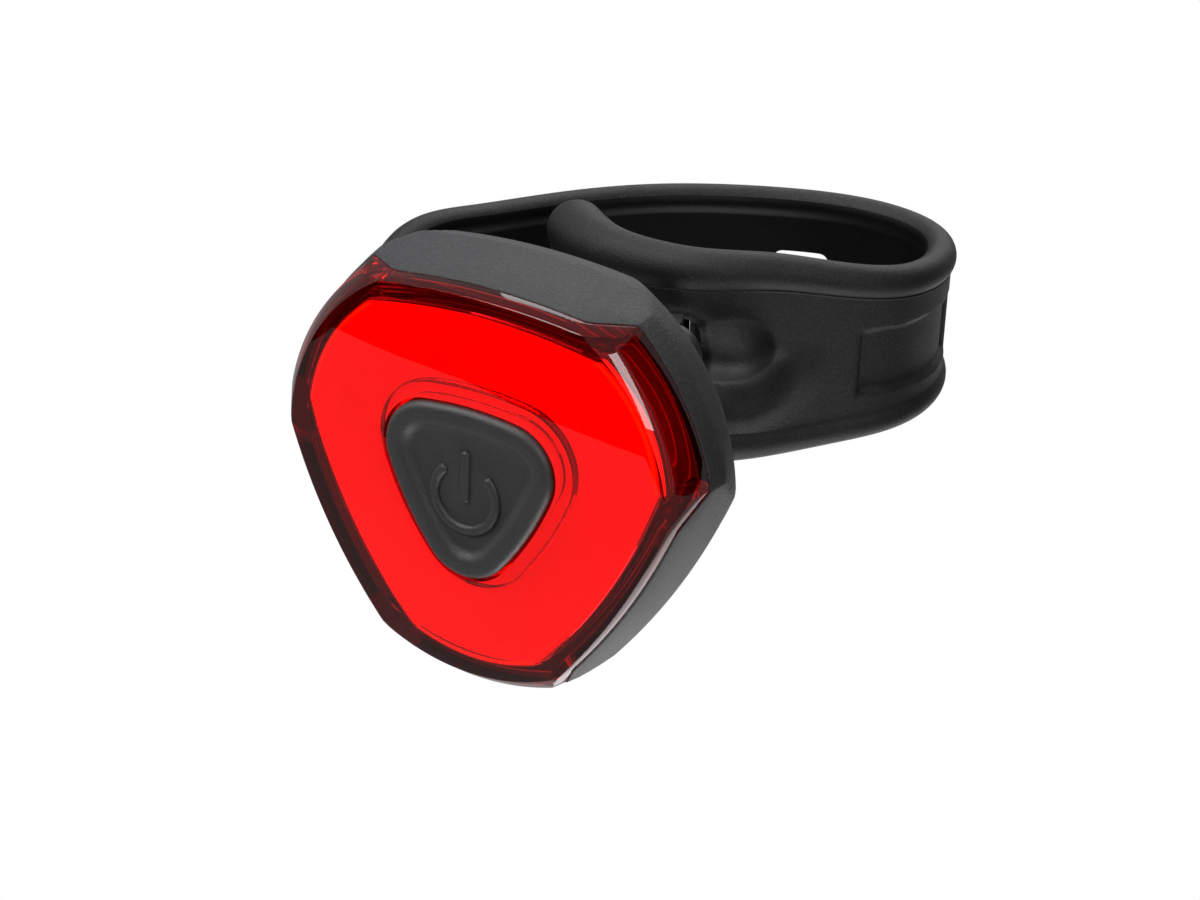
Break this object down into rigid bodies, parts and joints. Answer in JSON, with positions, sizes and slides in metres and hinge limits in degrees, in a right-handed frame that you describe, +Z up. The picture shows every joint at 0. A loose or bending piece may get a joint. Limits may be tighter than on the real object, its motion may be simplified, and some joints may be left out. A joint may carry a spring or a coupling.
{
  "type": "bike rear light",
  "caption": "Small red bicycle rear light, a rounded three-cornered lens with a triangular power button, on a black silicone seat-post strap that hooks shut",
  "frame": {"origin": "axis of the seat post at mid-height of the strap", "axes": "+X to the viewer's right when facing the lens, +Y from the lens towards the seat post, +Z up along the seat post"},
  "size_m": [0.0501, 0.0694, 0.0434],
  "materials": {
    "red_lens": "gloss",
    "red_diffuser": "satin",
    "grey_housing": "fine texture",
    "soft_button": "soft touch",
    "black_silicone": "fine grain",
    "black_plastic": "moulded",
    "white_plastic": "moulded",
    "circuit_board": "solder mask",
    "led_package": "clear over yellow",
    "chip_body": "moulded epoxy",
    "steel": "brushed",
    "spring_steel": "plated"
  },
  "bodies": {
    "lamp": {"lens": "red_lens", "lens_seal": "black_silicone", "diffuser": "red_diffuser", "housing": "grey_housing", "circuit_board": "circuit_board", "leds": "led_package", "tact_switch": "black_plastic", "driver_chip": "chip_body", "resistors": "chip_body", "board_screws": "steel", "cell_holder": "black_plastic", "cell_front": "steel", "cell_rear": "steel", "contact_negative": "spring_steel", "contact_positive": "spring_steel", "rear_cover": "grey_housing", "cover_seal": "black_silicone", "cover_screws": "steel", "mount_bracket": "black_plastic", "bracket_screws": "steel", "strap_pin": "steel"},
    "button": {"power_button": "soft_button"},
    "plunger": {"switch_plunger": "white_plastic"},
    "strap_body": {"strap": "black_silicone"}
  },
  "joints": [
    {"name": "button_press", "type": "slide", "parent": "lamp", "child": "button", "axis": [0, 1, 0], "range_m": [0, 0.0005], "stiffness_N_per_m": 3000},
    {"name": "plunger_press", "type": "slide", "parent": "lamp", "child": "plunger", "axis": [0, 1, 0], "range_m": [0, 0.0007]},
    {"name": "strap_swing", "type": "hinge", "parent": "lamp", "child": "strap_body", "pos_m": [-0.0182, -0.0282, 0], "axis": [0, 0, 1], "range_deg": [0, 40]}
  ],
  "couplings": [
    {"joint": "plunger_press", "follows": "button_press", "ratio": 1}
  ]
}
